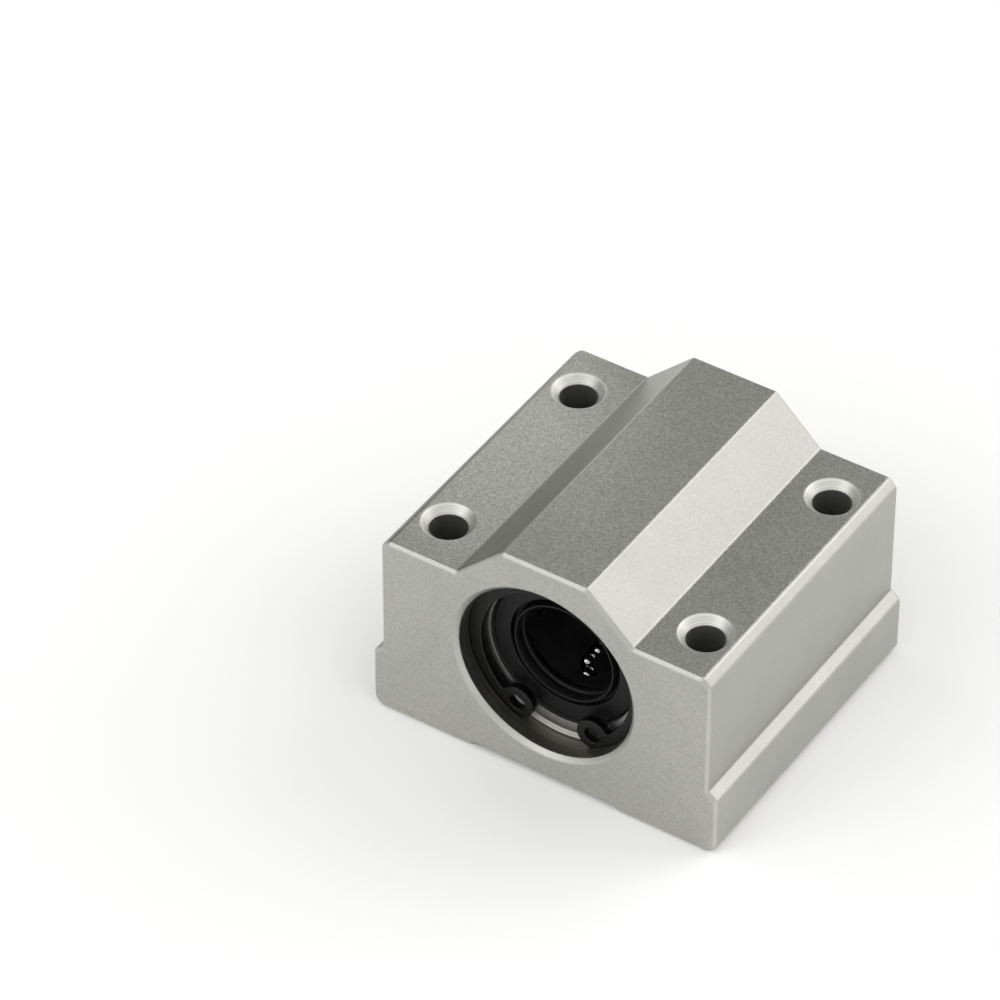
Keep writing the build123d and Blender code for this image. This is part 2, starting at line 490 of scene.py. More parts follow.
def clouding() -> bpy.types.NodeTree:
    """Slow uneven tone over a surface, as handling and cleaning leave it.

    Returns:
        A group that gives a shade around 1.
    """
    sheet, given, out = group_tree("clouding", {"Patch": 6 * MM, "Contrast": 0.05}, ("Shade",))
    cloud = sheet.noise(given["Vector"], sheet.math("DIVIDE", 1.0, given["Patch"]), detail=3.0)
    sheet.feed(out["Shade"], sheet.swing(cloud, NOISE_SPAN, given["Contrast"]))
    return sheet.tree


def edge_wear_and_highlight() -> bpy.types.NodeTree:
    """Where a surface turns over an edge, more in some places than in others, for worn edges and for
    painted edge highlights.

    Returns:
        A group that gives a mask from 0 on flats to 1 on edges.
    """
    sheet, given, out = group_tree("edge_wear_and_highlight", {"Width": 0.1 * MM, "Reach": 0.15}, ("Mask",))
    patch, patch_span, least = 0.8 * MM, (0.35, 0.6), 0.5
    rounded = sheet.add("Bevel", {"Radius": given["Width"]}, samples=4)
    agree = sheet.add("VectorMath", operation="DOT_PRODUCT")
    for socket, node in zip(agree.inputs, (rounded, sheet.add("NewGeometry"))):
        sheet.feed(socket, node.outputs["Normal"])
    turn = sheet.math("SUBTRACT", 1.0, agree.outputs["Value"])
    patches = sheet.noise(given["Vector"], 1 / patch, detail=2.0)
    reached = sheet.math("DIVIDE", turn, given["Reach"])
    worn = sheet.math("MULTIPLY", reached, sheet.spread(patches, patch_span, least, 1.0))
    sheet.feed(out["Mask"], sheet.add("Clamp", {"Value": worn}).outputs[0])
    return sheet.tree


@dataclass(frozen=True)
class Effects:
    """The node groups that the finishes share."""

    grain: bpy.types.NodeTree = field(default_factory=blasted_grain)
    rings: bpy.types.NodeTree = field(default_factory=turning_marks)
    cloud: bpy.types.NodeTree = field(default_factory=clouding)
    # Edge mask for worn edges and for painted edge highlights.
    edge_mask: bpy.types.NodeTree = field(default_factory=edge_wear_and_highlight)


# Finishes


@dataclass(frozen=True)
class Finish:
    """What all finishes share.

    Attributes:
        effects: The shared node groups.
        name: Name of the material.
        colour: Its colour where its shade is 1.
        roughness: Its roughness where nothing changes it.
        metallic: 1 for a metal, otherwise 0.
    """

    effects: Effects
    name: str
    colour: Colour
    roughness: float
    metallic: float = 1.0


class Surface(Sheet):
    """The material of a finish, while it is being wired."""

    def __init__(self, finish: Finish) -> None:
        """Starts the material.

        Args:
            finish: The finish that it is made for.
        """
        self.finish = finish
        self.material = bpy.data.materials.new(finish.name)
        self.material.use_nodes = True
        super().__init__(self.material.node_tree)
        self.shader = self.tree.nodes["Principled BSDF"]
        self.shader.inputs["Metallic"].default_value = finish.metallic
        self.place = self.add("TexCoord").outputs["Object"]

    def effect(self, tree: bpy.types.NodeTree, inputs: dict[str, object]) -> bpy.types.NodeOutputs:
        """Places a shared effect on the surface's own coordinates.

        Args:
            tree: The effect's node group.
            inputs: Values or sockets, by name, where another Vector may take the coordinates' place.

        Returns:
            The sockets of what the effect gives.
        """
        return self.add("Group", {"Vector": self.place, **inputs}, node_tree=tree).outputs

    def shaded(self, *shades: object) -> None:
        """Colours the surface.

        Args:
            shades: Numbers around 1, or their sockets, which make the finish's colour lighter or darker.
        """
        shade, *others = shades
        for other in others:
            shade = self.math("MULTIPLY", shade, other)
        self.feed(self.shader.inputs["Base Color"], self.tinted(self.finish.colour, shade))

    def roughened(self, value: object, swing: float, middle: float) -> None:
        """Lets the roughness follow a value.

        Args:
            value: Socket of the value.
            swing: How much the roughness grows as the value grows by 1.
            middle: The value at which the roughness is the finish's own.
        """
        rough = self.math("MULTIPLY_ADD", value, swing, self.finish.roughness - swing * middle)
        self.feed(self.shader.inputs["Roughness"], rough)

    def bumped(self, height: object, depth: float) -> None:
        """Feeds a height to the shader's normal.

        Args:
            height: Socket of the height, from 0 to 1.
            depth: What a height of 1 stands for.
        """
        bump = self.add("Bump", {"Strength": 1.0, "Distance": depth, "Height": height})
        self.feed(self.shader.inputs["Normal"], bump.outputs["Normal"])


@dataclass(frozen=True)
class BlastedAluminium(Finish):
    """Fine blasted and clear anodised aluminium.

    Faces that look up are speckled, partly as grain and partly as painted glints, and the ends a little.
    The rounded ridges on top and the upright chamfers of the ends get a painted highlight in their colour.

    Attributes:
        flat_span: Share of a face's direction, up or along, over which it comes to count as flat.
        ridge_start: Share of the upward direction over which a ridge starts, above the slopes.
        ridge_end: Share of the upward direction over which it ends, below the flat top.
        chamfer_span: Shares across and along over which a chamfer comes to count as upright.
    """

    grain: float = 0.16 * MM
    contrast: float = 0.03
    end_contrast: float = 0.06
    # Speckle on faces that look up: partly grain, partly painted glints.
    top_grain_and_glint_contrast: float = 0.22
    depth: float = 0.05 * MM
    patch: float = 7 * MM
    patch_contrast: float = 0.03
    edge_mask_width: float = 0.1 * MM
    edge_mask_reach: float = 0.4
    wear_gain: float = 0.12
    # Painted highlight along the rounded ridges on top.
    ridge_highlight_gain: float = 0.35
    # Painted highlight on the upright chamfers of the ends.
    upright_highlight_gain: float = 0.16
    rough_swing: float = -0.08
    flat_span: Span = (0.9, 0.99)
    ridge_start: Span = (0.81, 0.84)
    ridge_end: Span = (0.87, 0.97)
    chamfer_span: Span = (0.5, 0.65)

    def make(self) -> bpy.types.Material:
        """Builds the material.

        Returns:
            The material.
        """
        surface = Surface(self)
        facing = surface.add("SeparateXYZ", {"Vector": surface.add("TexCoord").outputs["Normal"]}).outputs
        across, along = (surface.math("ABSOLUTE", facing[way]) for way in "XY")
        # Grain contrast, higher on faces that look up, where part of the speckle is painted glints.
        contrast = surface.math(
            "ADD", surface.spread(facing["Z"], self.flat_span, self.contrast, self.top_grain_and_glint_contrast),
            surface.spread(along, self.flat_span, 0.0, self.end_contrast),
        )
        grain = surface.effect(self.effects.grain, {"Grain": self.grain, "Contrast": contrast})
        cloud = surface.effect(self.effects.cloud, {"Patch": self.patch, "Contrast": self.patch_contrast})
        edge_mask = surface.effect(self.effects.edge_mask, {"Width": self.edge_mask_width, "Reach": self.edge_mask_reach})
        # Painted highlight along the rounded ridges between the top and the slopes.
        ridge = surface.math(
            "MULTIPLY", surface.spread(facing["Z"], self.ridge_start, 0.0, self.ridge_highlight_gain),
            surface.spread(facing["Z"], self.ridge_end, 1.0, 0.0),
        )
        # Painted highlight on the upright chamfers of the ends.
        upright = surface.math(
            "MULTIPLY", surface.spread(across, self.chamfer_span, 0.0, self.upright_highlight_gain),
            surface.spread(along, self.chamfer_span, 0.0, 1.0),
        )
        # Worn edges a little brighter, plus the painted highlights of the ridges and chamfers.
        worn = surface.math("MULTIPLY_ADD", edge_mask["Mask"], self.wear_gain, 1.0)
        bright = surface.math("ADD", worn, surface.math("ADD", ridge, upright))
        surface.shaded(grain["Shade"], cloud["Shade"], bright)
        surface.roughened(edge_mask["Mask"], self.rough_swing, middle=0.0)
        surface.bumped(grain["Height"], self.depth)
        return surface.material


@dataclass(frozen=True)
class MachinedMetal(Finish):
    """Metal with the rings of a turning or drilling tool around one axis.

    Attributes:
        pitch: Distance between the rings.
        contrast: How far their tone swings.
        depth: Height of the rings.
        turn: Rotation that brings the axis to Z.
        fold: Places of the axis that its mirror images share, across and along the block.
    """

    pitch: float = 0.08 * MM
    contrast: float = 0.15
    depth: float = 0.004 * MM
    turn: tuple[float, float, float] = (0.0, 0.0, 0.0)
    fold: tuple[float, float] | None = None
    patch: float = 2 * MM
    patch_contrast: float = 0.05
    rough_swing: float = 0.12

    def make(self) -> bpy.types.Material:
        """Builds the material.

        Returns:
            The material.
        """
        surface = Surface(self)
        centred = surface.place
        if self.fold:
            parts = surface.add("SeparateXYZ", {"Vector": surface.place}).outputs
            folded = {
                way: surface.math("SUBTRACT", surface.math("ABSOLUTE", parts[way]), place)
                for way, place in zip("XY", self.fold)
            }
            centred = surface.add("CombineXYZ", {**folded, "Z": parts["Z"]}).outputs[0]
        around = surface.add("Mapping", {"Vector": centred, "Rotation": self.turn}).outputs[0]
        rings = surface.effect(
            self.effects.rings, {"Vector": around, "Pitch": self.pitch, "Contrast": self.contrast},
        )
        cloud = surface.effect(self.effects.cloud, {"Patch": self.patch, "Contrast": self.patch_contrast})
        surface.shaded(rings["Shade"], cloud["Shade"])
        surface.roughened(rings["Height"], self.rough_swing, middle=0.5)
        surface.bumped(rings["Height"], self.depth)
        return surface.material


@dataclass(frozen=True)
class BlackenedSteel(Finish):
    """Stamped spring steel with a thin black coat, bare along its edges."""

    bare: Colour = (0.22, 0.22, 0.215)
    bare_gain: float = 0.55
    grain: float = 0.1 * MM
    contrast: float = 0.2
    depth: float = 0.006 * MM
    edge_mask_width: float = 0.1 * MM
    edge_mask_reach: float = 0.25
    rough_swing: float = 0.2

    def make(self) -> bpy.types.Material:
        """Builds the material.

        Returns:
            The material.
        """
        surface = Surface(self)
        grain = surface.effect(self.effects.grain, {"Grain": self.grain, "Contrast": self.contrast})
        edge_mask = surface.effect(self.effects.edge_mask, {"Width": self.edge_mask_width, "Reach": self.edge_mask_reach})
        coat = surface.tinted(self.colour, grain["Shade"])
        worn = surface.math("MULTIPLY", edge_mask["Mask"], self.bare_gain)
        surface.feed(surface.shader.inputs["Base Color"], surface.blended(worn, coat, (*self.bare, 1.0)))
        surface.roughened(grain["Height"], self.rough_swing, middle=0.5)
        surface.bumped(grain["Height"], self.depth)
        return surface.material


@dataclass(frozen=True)
class Moulded(Finish):
    """Moulded rubber or plastic with a fine matt skin and painted highlights along its edges."""

    grain: float = 0.12 * MM
    contrast: float = 0.12
    depth: float = 0.004 * MM
    patch: float = 1.3 * MM
    patch_contrast: float = 0.3
    edge_mask_width: float = 0.08 * MM
    edge_mask_reach: float = 0.3
    # Painted highlight along the edges and lip rims.
    edge_highlight_gain: float = 4.0
    specular: float = 0.25
    rough_swing: float = 0.15

    def make(self) -> bpy.types.Material:
        """Builds the material.

        Returns:
            The material.
        """
        surface = Surface(self)
        surface.shader.inputs["Specular IOR Level"].default_value = self.specular
        grain = surface.effect(self.effects.grain, {"Grain": self.grain, "Contrast": self.contrast})
        cloud = surface.effect(self.effects.cloud, {"Patch": self.patch, "Contrast": self.patch_contrast})
        edge_mask = surface.effect(self.effects.edge_mask, {"Width": self.edge_mask_width, "Reach": self.edge_mask_reach})
        # Painted highlight: the colour is made paler where the edge mask rises.
        pale = surface.math("MULTIPLY_ADD", edge_mask["Mask"], self.edge_highlight_gain, 1.0)
        surface.shaded(grain["Shade"], cloud["Shade"], pale)
        surface.roughened(cloud["Shade"], self.rough_swing, middle=1.0)
        surface.bumped(grain["Height"], self.depth)
        return surface.material


@dataclass(frozen=True)
class PolishedSteel(Finish):
    """Polished bearing steel with faint running haze."""

    patch: float = 0.4 * MM
    patch_contrast: float = 0.06
    rough_swing: float = 0.3

    def make(self) -> bpy.types.Material:
        """Builds the material.

        Returns:
            The material.
        """
        surface = Surface(self)
        haze = surface.effect(self.effects.cloud, {"Patch": self.patch, "Contrast": self.patch_contrast})
        surface.shaded(haze["Shade"])
        surface.roughened(haze["Shade"], self.rough_swing, middle=1.0)
        return surface.material


class Finishes:
    """Every material of the block, built once."""

    def __init__(self, bolt_places: tuple[float, float]) -> None:
        """Builds the materials.

        Args:
            bolt_places: Half the spacing of the bolt holes, across and along the block.
        """
        effects = Effects()
        shaft = {"turn": (radians(90), 0.0, 0.0)}
        self.skin = BlastedAluminium(effects, "blasted_aluminium", (0.45, 0.45, 0.42), 0.42).make()
        self.bore = MachinedMetal(
            effects, "bored_aluminium", (0.25, 0.245, 0.22), 0.4, pitch=0.14 * MM, contrast=0.4, **shaft,
        ).make()
        self.sink = MachinedMetal(
            effects, "countersunk_aluminium", (0.62, 0.62, 0.59), 0.48, pitch=0.16 * MM, contrast=0.16,
            fold=bolt_places,
        ).make()
        self.hole = MachinedMetal(
            effects, "drilled_aluminium", (0.48, 0.48, 0.46), 0.45, fold=bolt_places,
        ).make()
        self.steel = MachinedMetal(
            effects, "turned_steel", (0.3, 0.295, 0.28), 0.45, pitch=0.09 * MM, contrast=0.35, **shaft,
        ).make()
        self.circlip = BlackenedSteel(effects, "blackened_steel", (0.028, 0.028, 0.028), 0.42).make()
        self.ring = MachinedMetal(effects, "spring_steel", (0.3, 0.3, 0.29), 0.35, **shaft).make()
        # Both moulded finishes carry painted highlights along their edges.
        self.rubber = Moulded(effects, "moulded_rubber", (0.0045, 0.0045, 0.0048), 0.5, metallic=0.0).make()
        self.plastic = Moulded(effects, "moulded_plastic", (0.008, 0.008, 0.009), 0.38, metallic=0.0).make()
        self.balls = PolishedSteel(effects, "polished_steel", (0.42, 0.42, 0.41), 0.08).make()


# Sub-assemblies


@dataclass
class Housing:
    """Extruded block with a stepped bore and four bolt holes.

    The overall size, the bore and the bolt pattern come from the frame. Past the mouth that it cuts,
    a tool rises off the face by tool_rise, so that the mouth's edge can be rounded.
    """

    finishes: Finishes
    hole_radius: float
    bolt_places: tuple[float, float]
    flange_height: float = 7.75 * MM
    flare_width: float = 1.2 * MM
    flare_rise: float = 0.9 * MM
    shoulder_height: float = 24.5 * MM
    hump_top_width: float = 10.6 * MM
    hump_foot_width: float = 22.2 * MM
    hump_blend: float = 0.5 * MM
    relief_width: float = 18.6 * MM
    relief_depth: float = 0.5 * MM
    shoulder_edge: float = 1.0 * MM
    base_edge: float = 0.9 * MM
    end_edge: float = 0.38 * MM
    bore_edge: float = 0.55 * MM
    sink_radius: float = 3.05 * MM
    broken_edge: float = 0.1 * MM
    broken_steps: int = 2
    mouth_steps: int = 3
    soft_edge: float = 0.3 * MM
    flare_root: float = 0.12 * MM
    soft_steps: int = 4
    tool_rise: float = 0.005 * MM
    tool_brim: float = 0.61 * MM
    tool_reach: float = 1.5 * MM
    thread_radius: float = 2.5 * MM
    thread_pitch: float = 0.8 * MM
    thread_depth: float = 12.0 * MM
    crest_share: float = 0.125
    flank_share: float = 0.54
    flank_angle: float = radians(30)
    spare_turns: int = 3
    bore_steps: int = 192
    hole_steps: int = 64

    def __post_init__(self) -> None:
        """Reads the overall sizes from the frame."""
        low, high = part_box("housing")
        self.half_width, self.half_length = high.x, high.y
        self.base, self.top = low.z, high.z
        self.shoulder = self.base + self.shoulder_height
        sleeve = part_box("bushing_sleeve")[1]
        self.seat_radius, self.seat_end = sleeve.x, sleeve.y
        clip_low, clip_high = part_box(End.REAR.node("circlip"))
        play = clip_low.y - self.seat_end
        self.groove_radius, self.groove_end = clip_high.z + play, clip_high.y + play

    def section(self) -> list[Corner]:
        """Draws the extrusion's section.

        Returns:
            The corners in order.
        """
        waist = self.half_width - self.flare_width
        hump_foot, hump_top = self.hump_foot_width / 2, self.hump_top_width / 2
        slope = atan2(self.top - self.shoulder, hump_foot - hump_top)
        blend = self.hump_blend * tan(slope / 2)
        flange = self.base + self.flange_height
        relief = self.relief_width / 2
        soft = self.soft_edge, self.soft_steps
        right = [
            Corner(relief - self.relief_depth, self.base + self.relief_depth),
            Corner(relief, self.base),
            Corner(self.half_width - self.base_edge, self.base, *soft),
            Corner(self.half_width, self.base + self.base_edge, *soft),
            Corner(self.half_width, flange, *soft),
            Corner(waist, flange + self.flare_rise, self.flare_root, self.soft_steps),
            Corner(waist, self.shoulder - self.shoulder_edge, *soft),
            Corner(waist - self.shoulder_edge, self.shoulder, *soft),
            Corner(hump_foot, self.shoulder, blend, self.soft_steps),
            Corner(hump_top, self.top, blend, self.soft_steps),
        ]
        return right + mirrored(right, across=-1)

    def blank(self) -> bpy.types.Object:
        """Extrudes the bar, cuts it to length and breaks its edges.

        Returns:
            The bar.
        """
        straight = self.half_length - self.end_edge
        bm = drawn(self.section(), AXIS_Z)
        moved(bm, -AXIS_Y * straight)
        thickened(bm, AXIS_Y * 2 * straight)
        caps = [f for f in bm.faces if abs(f.calc_center_median().y) > straight - MERGE]
        for cap in caps:
            bmesh.ops.inset_region(
                bm, faces=[cap], thickness=self.end_edge, depth=self.end_edge,
                use_even_offset=True, use_boundary=True,
            )
        eased(bm, sharp_edges(bm, CORNER_LIMIT), self.broken_edge, self.broken_steps)
        return as_object(bm, "housing_machined", [self.finishes.skin])

    def bore_tool(self) -> bpy.types.Object:
        """Turns the space of the bushing, its circlip grooves and the broken mouths.

        Returns:
            The tool.
        """
        mouth = self.seat_radius + self.bore_edge
        past = self.half_length + self.bore_edge
        broken = self.broken_edge, self.broken_steps
        half = [
            Corner(self.seat_radius, self.seat_end, *broken),
            Corner(self.groove_radius, self.seat_end),
            Corner(self.groove_radius, self.groove_end),
            Corner(self.seat_radius, self.groove_end, *broken),
            Corner(self.seat_radius, self.half_length - self.bore_edge, *broken),
            Corner(mouth, self.half_length, self.broken_edge, self.mouth_steps),
            Corner(mouth + self.bore_edge, self.half_length + self.tool_rise),
            Corner(mouth + self.bore_edge, past),
        ]
        ends = [Corner(0, past), Corner(0, -past)]
        bm = turned([*mirrored(half, along=-1), *half, *ends], AXIS_Y, self.bore_steps)
        for face in bm.faces:
            if abs(face.calc_center_median().y) > self.half_length - self.bore_edge:
                face.material_index = 1
        return as_object(bm, "bore_tool", [self.finishes.bore, self.finishes.skin])

    def bolt_tool(self) -> bpy.types.Object:
        """Turns the four drilled and countersunk holes.

        Returns:
            The tool.
        """
        sink_floor = self.shoulder - (self.sink_radius - self.hole_radius)
        below, brim = self.base - self.tool_reach, self.sink_radius + self.tool_brim
        entry = self.base + self.thread_radius + self.broken_edge
        corners = [
            Corner(0, below),
            Corner(self.sink_radius, below),
            Corner(self.sink_radius, entry - self.sink_radius),
            Corner(self.hole_radius, entry - self.hole_radius),
            Corner(self.hole_radius, sink_floor, self.broken_edge, self.broken_steps),
            Corner(self.sink_radius, self.shoulder, self.broken_edge, self.mouth_steps),
            Corner(brim, self.shoulder + self.tool_rise),
            Corner(brim, self.top),
            Corner(0, self.top),
        ]
        bm = turned(corners, AXIS_Z, self.hole_steps)
        for face in bm.faces:
            if face.calc_center_median().z > sink_floor:
                face.material_index = 1
        self.repeat(bm)
        return as_object(bm, "bolt_tool", [self.finishes.hole, self.finishes.sink])

    def thread_tool(self) -> bpy.types.Object:
        """Spins the threads that start at the base.

        Returns:
            The tool.
        """
        pitch, root = self.thread_pitch, self.thread_radius
        crest, depth = pitch * self.crest_share, pitch * self.flank_share
        flank = depth * tan(self.flank_angle)
        core = root - depth
        places = [(core, 0), (root, flank), (root, flank + crest), (core, 2 * flank + crest), (core, pitch)]
        bm = bmesh.new()
        verts = [bm.verts.new((radius, 0, height)) for radius, height in places]
        for start, end in zip(verts, verts[1:]):
            bm.edges.new((start, end))
        turns = round(self.thread_depth / pitch) + self.spare_turns
        moved(bm, AXIS_Z * (self.base - (self.spare_turns - 1) * pitch))
        bmesh.ops.spin(
            bm, geom=bm.verts[:] + bm.edges[:], axis=AXIS_Z, cent=ORIGIN, angle=2 * pi * turns,
            dvec=AXIS_Z * pitch / self.hole_steps, steps=self.hole_steps * turns,
        )
        bmesh.ops.remove_doubles(bm, verts=bm.verts[:], dist=MERGE)
        for height, above in ((self.base - pitch / 2, False), (self.base + self.thread_depth, True)):
            bmesh.ops.bisect_plane(
                bm, geom=whole(bm), dist=MERGE / 10, plane_co=AXIS_Z * height, plane_no=AXIS_Z,
                clear_outer=above, clear_inner=not above,
            )
        bmesh.ops.holes_fill(bm, edges=[e for e in bm.edges if e.is_boundary], sides=0)
        bmesh.ops.recalc_face_normals(bm, faces=bm.faces[:])
        self.repeat(bm)
        return as_object(bm, "thread_tool", [self.finishes.hole])

    def repeat(self, bm: bmesh.types.BMesh) -> None:
        """Moves a tool to the first bolt hole and copies it to the others.

        Args:
            bm: The tool, around the Z axis.
        """
        across, along = self.bolt_places
        moved(bm, AXIS_X * across + AXIS_Y * along)
        for way in (AXIS_X * 2 * across, AXIS_Y * 2 * along):
            copies = bmesh.ops.duplicate(bm, geom=whole(bm))["geom"]
            bmesh.ops.translate(bm, verts=verts_in(copies), vec=-way)

    def build(self) -> None:
        """Builds the housing."""
        body = self.blank()
        for tool in (self.bore_tool(), self.bolt_tool(), self.thread_tool()):
            worked(body, tool, Cut.TAKE_AWAY)
        finished(body, "housing")


@dataclass
class Circlip:
    """Stamped internal circlip with its gap towards the base."""

    finishes: Finishes
    end: End
    back: float = 2.45 * MM
    front: float = 1.55 * MM
    lug_radius: float = 2.0 * MM
    lug_angle: float = radians(30.6)
    lug_overrun: float = radians(4.0)
    lug_hole: float = 1.0 * MM
    lug_blend: float = 0.9 * MM
    lug_corner: float = radians(48)
    blend_steps: int = 6
    stamped_edge: float = 0.1 * MM
    stamped_steps: int = 3
    flat_limit: float = radians(0.5)
    rim_limit: float = radians(60)
    steps: int = 144
    least_steps: int = 24

    def __post_init__(self) -> None:
        """Reads the ring's place from the frame."""
        self.low, self.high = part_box(self.end.node("circlip"))
        self.radius = self.high.z
        self.inner = self.radius - (self.back + self.front) / 2
        self.shift = (self.back - self.front) / 2

    def stamped(self, bm: bmesh.types.BMesh, name: str, past: float) -> bpy.types.Object:
        """Gives a flat outline the ring's place and thickness.

        Args:
            bm: The outline, across the shaft at the origin.
            name: Name of the object.
            past: How far it reaches past both faces of the ring.

        Returns:
            The thick outline as an object.
        """
        moved(bm, AXIS_Y * (self.low.y - past))
        thickened(bm, AXIS_Y * (self.high.y - self.low.y + 2 * past))
        return as_object(bm, name, [self.finishes.circlip])

    def disc(
        self, name: str, radius: float, across: float, up: float, past: float = 0.0,
    ) -> bpy.types.Object:
        """Makes a thick disc across the shaft.

        Args:
            name: Its name.
            radius: Its radius.
            across: Place of its middle along X.
            up: Place of its middle along Z.
            past: How far it reaches past both faces of the ring.

        Returns:
            The disc as an object.
        """
        bm = bmesh.new()
        steps = max(self.least_steps, round(self.steps * radius / self.radius))
        bmesh.ops.create_circle(bm, cap_ends=True, segments=steps, radius=radius)
        swung(bm, bm.verts[:], Matrix.Rotation(radians(90), 3, "X"))
        moved(bm, AXIS_X * across + AXIS_Z * up)
        return self.stamped(bm, name, past)

    def gap_tool(self) -> bpy.types.Object:
        """Makes the wedge that opens the ring between its lugs.

        Returns:
            The tool.
        """
        cut = self.lug_angle - self.lug_overrun
        far = 2 * self.radius
        feet = [Corner(side * far * sin(cut), -far * cos(cut)) for side in (-1, 1)]
        return self.stamped(drawn([Corner(0, 0), *feet], AXIS_Z), "gap_tool", self.stamped_edge)

    def blend_lugs(self, body: bpy.types.Object) -> None:
        """Rounds the inner corners between the lugs and the band, and the edges of both faces.

        Args:
            body: The ring with its lugs.
        """
        bm = bmesh.new()
        bm.from_mesh(body.data)
        bmesh.ops.dissolve_limit(
            bm, angle_limit=self.flat_limit, verts=bm.verts[:], edges=bm.edges[:],
            use_dissolve_boundaries=False,
        )
        hollows = [
            e for e in bm.edges if not lies_across(e) and e.calc_face_angle_signed(0.0) < -CORNER_LIMIT
        ]
        eased(bm, hollows, self.lug_blend * tan(self.lug_corner / 2), self.blend_steps)
        rims = [e for e in sharp_edges(bm, self.rim_limit) if lies_across(e)]
        eased(bm, rims, self.stamped_edge, self.stamped_steps)
        bm.to_mesh(body.data)
        bm.free()

    def build(self) -> None:
        """Builds the ring."""
        past = self.stamped_edge
        place = self.radius - self.lug_radius
        lugs = [(side * place * sin(self.lug_angle), -place * cos(self.lug_angle)) for side in (-1, 1)]
        body = self.disc(self.end.node("circlip_stamped"), self.radius, 0, 0)
        worked(body, self.disc("middle_tool", self.inner, 0, -self.shift, past), Cut.TAKE_AWAY)
        worked(body, self.gap_tool(), Cut.TAKE_AWAY)
        for lug in lugs:
            worked(body, self.disc("lug", self.lug_radius, *lug), Cut.JOIN)
        for lug in lugs:
            worked(body, self.disc("lug_hole_tool", self.lug_hole, *lug, past), Cut.TAKE_AWAY)
        self.blend_lugs(body)
        finished(body, self.end.node("circlip"))


@dataclass
class Sleeve:
    """Hardened outer cylinder of the bushing, with its raceway ribs."""

    finishes: Finishes
    relief_radius: float = 9.2 * MM
    rib_height: float = 1.2 * MM
    rib_width: float = 1.904 * MM
    rib_offset: float = 0.45 * MM
    rim: float = 0.1 * MM
    mouth_bevel: float = 0.4 * MM
    groove_end: float = 11.45 * MM
    groove_width: float = 1.3 * MM
    groove_depth: float = 0.5 * MM
    ring_seat: float = 0.35 * MM
    ring_play: float = 0.05 * MM
    eased_edge: float = 0.05 * MM
    rim_edge: float = 0.03 * MM
    eased_steps: int = 3
    circuits: int = 4
    circuit_angle: float = radians(185.309935)
    steps: int = 192

    def __post_init__(self) -> None:
        """Reads the sleeve's outside and what sits in it from the frame."""
        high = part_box("bushing_sleeve")[1]
        self.radius, self.half_length = high.x, high.y
        ring_low, ring_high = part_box(End.REAR.node("end_ring"))
        self.seat_start, self.seat_end = ring_low.y - self.ring_play, ring_high.y + self.ring_play
        self.row_half = -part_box("circuit_1_return_balls")[0].y

    def build(self) -> None:
        """Builds the sleeve."""
        eased_corner, rim_corner = (self.eased_edge, self.eased_steps), (self.rim_edge, self.eased_steps)
        face = self.half_length - self.mouth_bevel
        rim = self.radius - self.rim
        bottom = self.radius - self.groove_depth
        start = self.groove_end - self.groove_width
        inside = self.relief_radius
        seat = inside + self.ring_seat
        half = [
            Corner(self.radius, start, *eased_corner),
            Corner(bottom, start),
            Corner(bottom, self.groove_end),
            Corner(self.radius, self.groove_end, *eased_corner),
            Corner(self.radius, self.half_length, *rim_corner),
            Corner(rim, self.half_length, *rim_corner),
            Corner(rim - self.mouth_bevel, face, *eased_corner),
            Corner(inside, face, *eased_corner),
            Corner(inside, self.seat_end, *eased_corner),
            Corner(seat, self.seat_end),
            Corner(seat, self.seat_start),
            Corner(inside, self.seat_start, *eased_corner),
        ]
        bm = turned(mirrored(half, along=-1) + half, AXIS_Y, self.steps)
        body = as_object(bm, "sleeve_turned", [self.finishes.steel])
        worked(body, self.ribs(), Cut.JOIN)
        finished(body, "bushing_sleeve")

    def ribs(self) -> bpy.types.Object:
        """Makes the raceway ribs, one for each circuit.

        Returns:
            The ribs as one object.
        """
        bm = bmesh.new()
        depth = self.rib_height + self.ring_seat
        middle = self.relief_radius - self.rib_height + depth / 2
        for index in range(self.circuits):
            made = bmesh.ops.create_cube(bm, size=1.0)["verts"]
            bmesh.ops.scale(bm, verts=made, vec=(self.rib_width, 2 * self.row_half, depth))
            bmesh.ops.translate(bm, verts=made, vec=(self.rib_offset, 0, middle))
            angle = self.circuit_angle + index * 2 * pi / self.circuits
            swung(bm, made, Matrix.Rotation(angle, 3, "Y"))
        return as_object(bm, "rib_tool", [self.finishes.steel])


